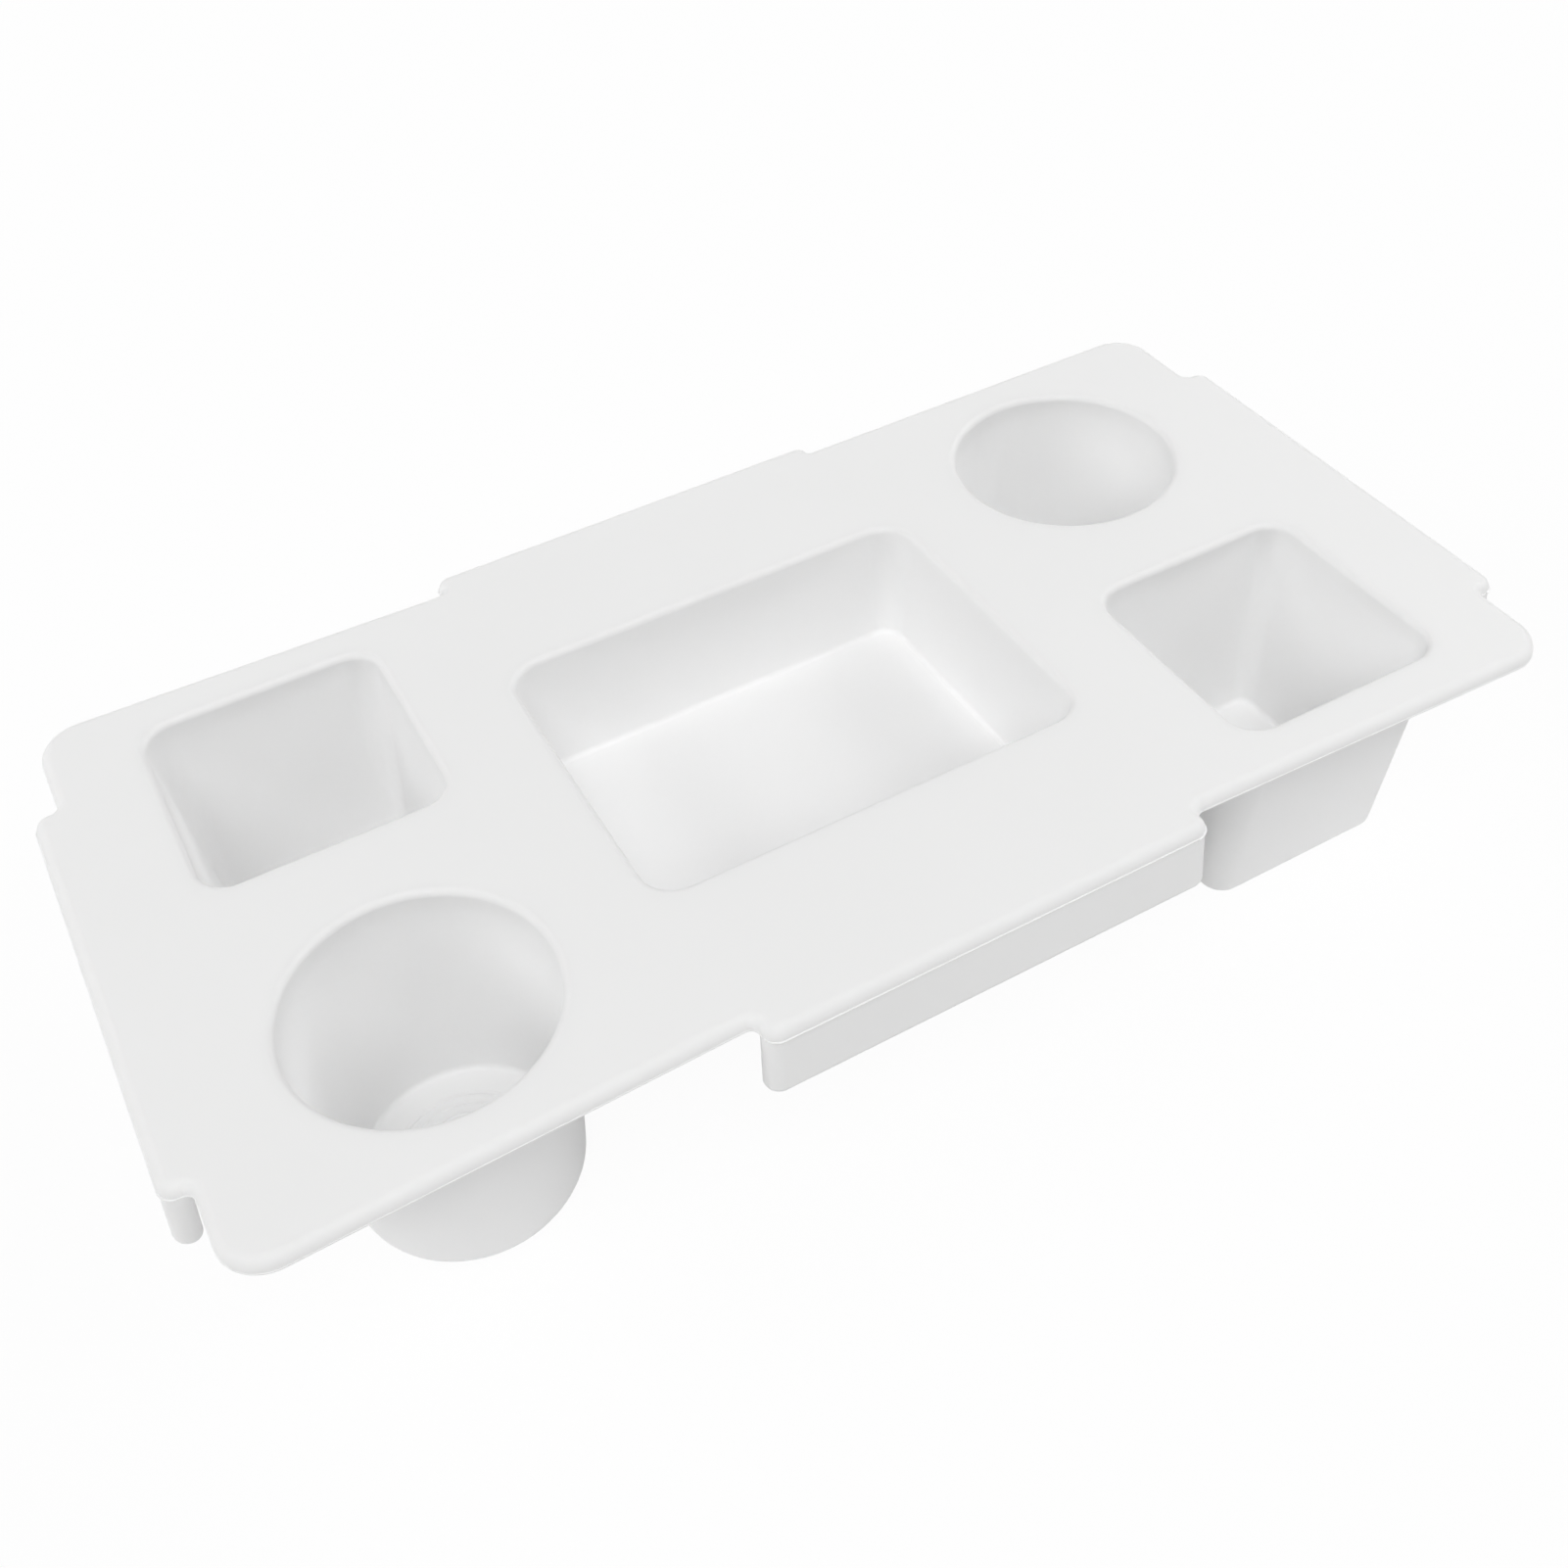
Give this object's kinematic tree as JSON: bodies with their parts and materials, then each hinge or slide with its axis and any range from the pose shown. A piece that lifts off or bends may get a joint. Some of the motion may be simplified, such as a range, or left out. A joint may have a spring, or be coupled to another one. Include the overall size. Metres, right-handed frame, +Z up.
{
  "type": "cup holder tray",
  "caption": "Flat white moulded tray with round drink wells, square bins, a snack pocket and turned-down skirts on its edge tabs.",
  "frame": {"origin": "centre of the tray in plan, on the plane that the undersides of the deep wells stand on", "axes": "+X along the tray towards the square bin at the front and the round cup at the back, +Y from the front long side to the back one, +Z up"},
  "size_m": [0.4898, 0.255, 0.088],
  "materials": {
    "deck": "satin off-white moulding with a rounded edge and a fine parting line",
    "wells": "satin off-white, smooth walls, fine anti-slip rings on the round floors",
    "skirts": "satin off-white"
  },
  "bodies": {
    "root": {"deck": "deck", "front_left_cup": "wells", "back_right_cup": "wells", "back_left_bin": "wells", "front_right_bin": "wells", "snack_pocket": "wells", "front_skirt": "skirts", "back_skirt": "skirts", "left_skirt": "skirts", "right_skirt": "skirts"}
  },
  "joints": []
}
